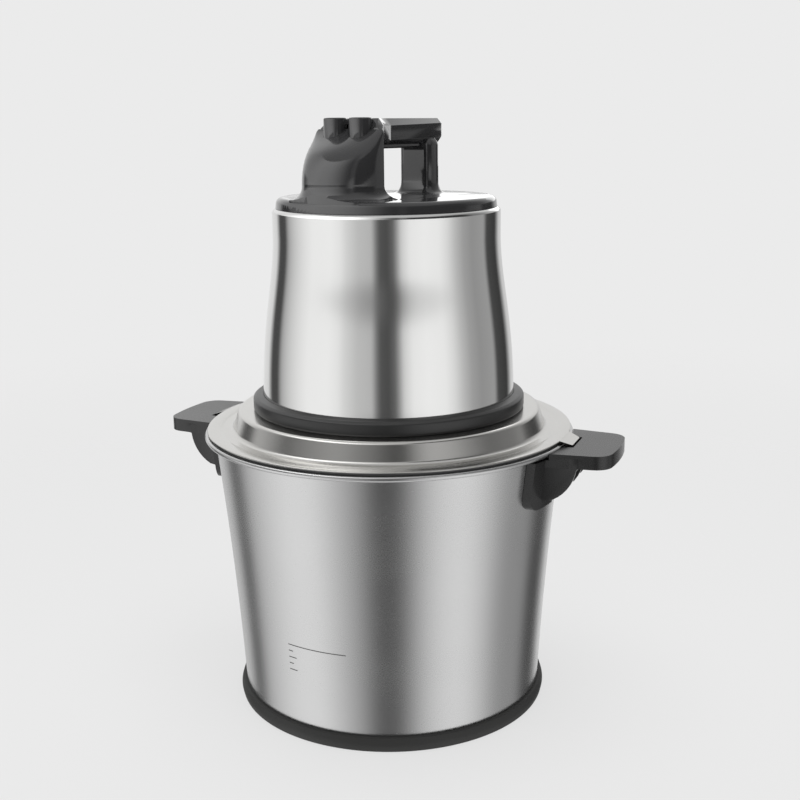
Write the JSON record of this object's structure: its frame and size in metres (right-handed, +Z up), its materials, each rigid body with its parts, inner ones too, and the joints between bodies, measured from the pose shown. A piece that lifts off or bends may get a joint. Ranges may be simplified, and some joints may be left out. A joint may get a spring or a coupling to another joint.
{
  "type": "electric food chopper",
  "caption": "Electric food chopper: flared steel bowl with two side handles, steel lid, and a lift-off steel motor head with a moulded top handle and push buttons.",
  "frame": {"origin": "centre of the foot ring's underside", "axes": "+Z up along the bowl's axis; the two side handles lie along X; the motor head's buttons face about -Y"},
  "size_m": [0.362, 0.284, 0.446],
  "materials": {
    "rubber_black": "matt moulded rubber",
    "steel_brushed": "satin brushed stainless sheet",
    "steel_turned": "turned stainless bar",
    "handle_plastic": "fine textured black moulding",
    "stud_steel": "zinc plated steel",
    "blade_steel": "ground stainless blade",
    "blade_plastic": "black nylon",
    "lid_steel": "pressed stainless sheet, bright",
    "seal_silicone": "grey silicone",
    "base_plastic": "black moulding, satin",
    "housing_steel": "polished stainless shell",
    "gloss_black": "black gloss moulding",
    "grip_plastic": "black moulding",
    "grommet_rubber": "black rubber",
    "laminate": "resin laminate",
    "switch_black": "black moulding",
    "bearing_steel": "ground bearing steel",
    "cast_aluminium": "die cast",
    "gear_nylon": "natural nylon",
    "gear_steel": "machined steel",
    "iron": "stacked sheet iron",
    "copper": "enamelled copper",
    "carbon": "pressed carbon",
    "spring_steel": "spring wire"
  },
  "bodies": {
    "bowl_body": {"foot_ring": "rubber_black", "bowl": "steel_brushed", "blade_spindle": "steel_turned", "side_handle_right": "handle_plastic", "side_handle_left": "handle_plastic", "handle_studs": "stud_steel"},
    "blade_set": {"blade_shaft": "steel_turned", "lower_blade": "blade_steel", "blade_spacer": "blade_plastic", "upper_blade": "blade_steel", "blade_nut": "blade_plastic"},
    "lid_body": {"lid": "lid_steel", "lid_seal": "seal_silicone", "lid_bush": "blade_plastic"},
    "motor_head": {"motor_base": "base_plastic", "motor_housing": "housing_steel", "top_cap": "gloss_black", "handle_shell": "gloss_black", "grip_strip": "grip_plastic", "cord_grommet": "grommet_rubber", "switch_bracket": "laminate", "microswitches": "switch_black", "circuit_board": "laminate", "tie_screws": "stud_steel", "top_handle_screws": "stud_steel", "shaft_seal": "grommet_rubber", "output_bearing": "bearing_steel", "gearbox_housing": "cast_aluminium", "gearbox_screws": "stud_steel", "ring_gear": "gear_nylon", "lower_bearing": "bearing_steel", "stator": "iron", "field_coils": "copper", "upper_bracket": "cast_aluminium", "upper_bearing": "bearing_steel", "brush_holders": "laminate", "carbon_brushes": "carbon", "motor_screws": "stud_steel", "low_speed_spring": "spring_steel", "high_speed_spring": "spring_steel"},
    "low_speed_key": {"low_speed_button": "gloss_black"},
    "high_speed_key": {"high_speed_button": "gloss_black"},
    "output_drive": {"output_shaft": "steel_turned", "planet_carrier": "gear_steel"},
    "planet_1": {"planet_gear_1": "gear_nylon"},
    "planet_2": {"planet_gear_2": "gear_nylon"},
    "planet_3": {"planet_gear_3": "gear_nylon"},
    "rotor": {"motor_shaft": "steel_turned", "sun_pinion": "gear_steel", "cooling_fan": "switch_black", "armature": "iron", "armature_windings": "copper", "commutator": "copper"}
  },
  "joints": [
    {"name": "lid_lift", "type": "slide", "parent": "bowl_body", "child": "lid_body", "axis": [0, 0, 1], "range_m": [0, 0.1]},
    {"name": "head_lift", "type": "slide", "parent": "lid_body", "child": "motor_head", "axis": [0, 0, 1], "range_m": [0, 0.1]},
    {"name": "blade_spin", "type": "hinge", "parent": "bowl_body", "child": "blade_set", "pos_m": [0, 0, 0.02], "axis": [0, 0, 1], "continuous": true},
    {"name": "output_spin", "type": "hinge", "parent": "motor_head", "child": "output_drive", "pos_m": [0, 0, 0.23], "axis": [0, 0, 1], "continuous": true},
    {"name": "rotor_spin", "type": "hinge", "parent": "motor_head", "child": "rotor", "pos_m": [0, 0, 0.3], "axis": [0, 0, 1], "continuous": true},
    {"name": "planet_spin_1", "type": "hinge", "parent": "output_drive", "child": "planet_1", "pos_m": [0.0225, 0, 0.249], "axis": [0, 0, 1], "continuous": true},
    {"name": "planet_spin_2", "type": "hinge", "parent": "output_drive", "child": "planet_2", "pos_m": [-0.01125, 0.01949, 0.249], "axis": [0, 0, 1], "continuous": true},
    {"name": "planet_spin_3", "type": "hinge", "parent": "output_drive", "child": "planet_3", "pos_m": [-0.01125, -0.01949, 0.249], "axis": [0, 0, 1], "continuous": true},
    {"name": "low_button_press", "type": "slide", "parent": "motor_head", "child": "low_speed_key", "axis": [0, 0, -1], "range_m": [0, 0.003], "stiffness_N_per_m": 900, "springref_m": -0.002, "deforming": ["low_speed_spring"]},
    {"name": "high_button_press", "type": "slide", "parent": "motor_head", "child": "high_speed_key", "axis": [0, 0, -1], "range_m": [0, 0.003], "stiffness_N_per_m": 900, "springref_m": -0.002, "deforming": ["high_speed_spring"]}
  ],
  "couplings": [
    {"joint": "blade_spin", "follows": "output_spin", "ratio": 1},
    {"joint": "rotor_spin", "follows": "output_spin", "ratio": 5},
    {"joint": "planet_spin_1", "follows": "output_spin", "ratio": -2.6667},
    {"joint": "planet_spin_2", "follows": "output_spin", "ratio": -2.6667},
    {"joint": "planet_spin_3", "follows": "output_spin", "ratio": -2.6667}
  ]
}
